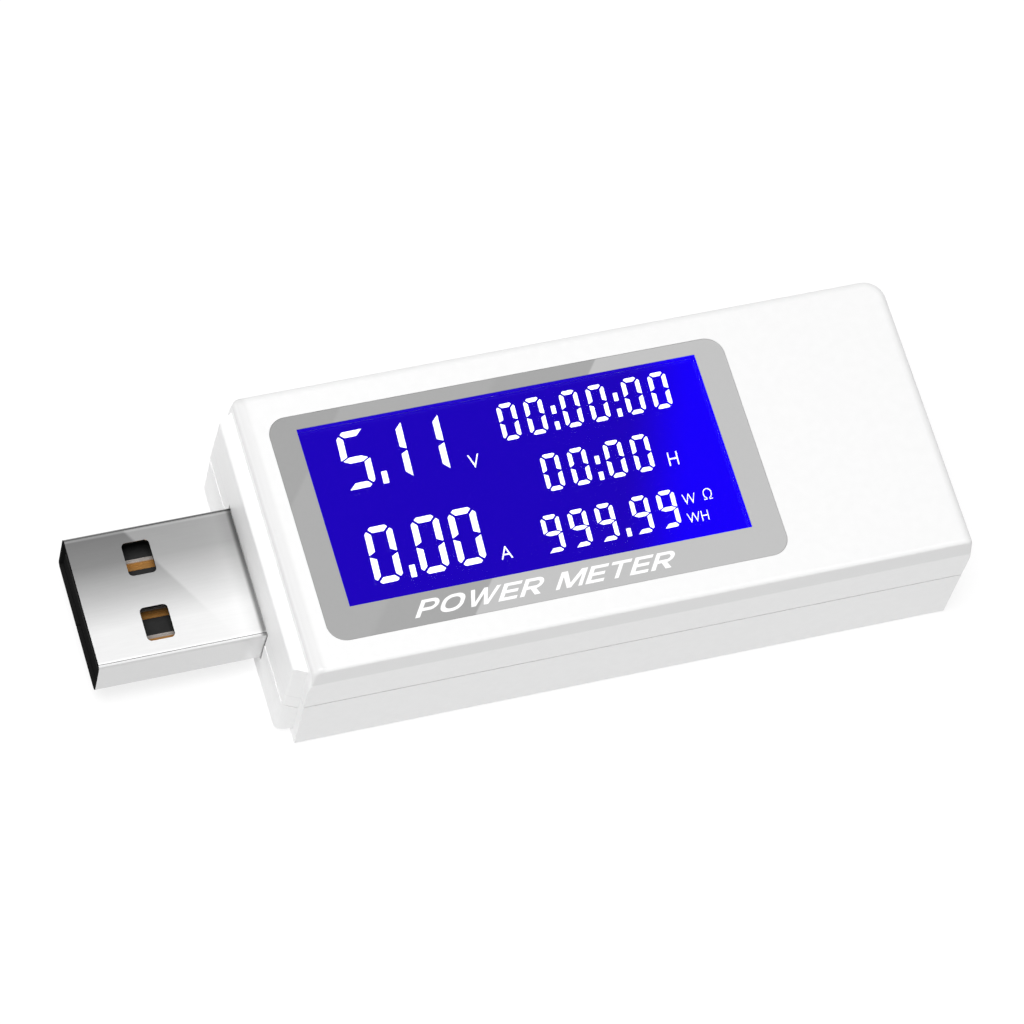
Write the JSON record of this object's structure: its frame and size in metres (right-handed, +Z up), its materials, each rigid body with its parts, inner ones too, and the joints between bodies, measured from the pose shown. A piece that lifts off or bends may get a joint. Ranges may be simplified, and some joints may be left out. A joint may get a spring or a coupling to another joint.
{
  "type": "usb power meter",
  "caption": "Slim inline power meter with a flat plug at one end, a socket at the other, a segment display on top and a small side button.",
  "frame": {"origin": "middle of the underside, halfway between the tip of the plug and the socket end", "axes": "+X along the meter from the plug to the socket, +Y across it towards the side with the button, +Z up through the display"},
  "size_m": [0.0728, 0.0265, 0.0134],
  "materials": {
    "case_plastic": "satin white moulded",
    "label_film": "glossy grey printed film",
    "display_window": "clear, glossy",
    "display_glass": "clear",
    "polariser_film": "smooth film",
    "backlight_white": "matte white",
    "backlight_guide": "clear moulded",
    "lamp": "lamp with tinned leads",
    "shell_steel": "satin nickel plated",
    "connector_plastic": "moulded black",
    "contact_gold": "gold plated",
    "tinned_metal": "tinned",
    "board_laminate": "green solder mask",
    "chip_black": "moulded black",
    "resistor_black": "coated ceramic",
    "capacitor_tan": "ceramic with tinned ends",
    "tantalum_yellow": "moulded",
    "button_plastic": "satin moulded",
    "switch_plastic": "moulded"
  },
  "bodies": {
    "meter": {"upper_case": "case_plastic", "lower_case": "case_plastic", "front_label": "label_film", "display_window": "display_window", "lcd_front_polariser": "polariser_film", "lcd_front_glass": "display_glass", "lcd_rear_glass": "display_glass", "lcd_rear_polariser": "polariser_film", "lcd_pins": "tinned_metal", "backlight_diffuser": "backlight_white", "backlight_guide": "backlight_guide", "backlight_tray": "backlight_white", "backlight_led": "lamp", "circuit_board": "board_laminate", "microcontroller": "chip_black", "microcontroller_leads": "tinned_metal", "display_driver": "chip_black", "display_driver_leads": "tinned_metal", "memory_chip": "chip_black", "memory_chip_leads": "tinned_metal", "voltage_regulator": "chip_black", "shunt_resistor": "resistor_black", "bulk_capacitor": "tantalum_yellow", "ceramic_capacitor_1": "capacitor_tan", "ceramic_capacitor_2": "capacitor_tan", "ceramic_capacitor_3": "capacitor_tan", "clock_crystal": "tinned_metal", "plug_shell": "shell_steel", "plug_insulator": "connector_plastic", "plug_contact_power": "contact_gold", "plug_contact_data_minus": "contact_gold", "plug_contact_data_plus": "contact_gold", "plug_contact_ground": "contact_gold", "socket_shell": "shell_steel", "socket_insulator": "connector_plastic", "socket_contact_power": "contact_gold", "socket_contact_data_minus": "contact_gold", "socket_contact_data_plus": "contact_gold", "socket_contact_ground": "contact_gold", "switch_base": "switch_plastic", "switch_cover": "tinned_metal", "switch_dome": "tinned_metal", "switch_terminals": "tinned_metal"},
    "button": {"reset_button": "button_plastic", "switch_plunger": "switch_plastic"}
  },
  "joints": [
    {"name": "button_press", "type": "slide", "parent": "meter", "child": "button", "axis": [0, -1, 0], "range_m": [0, 0.0003], "stiffness_N_per_m": 8000, "deforming": ["switch_dome"]}
  ]
}
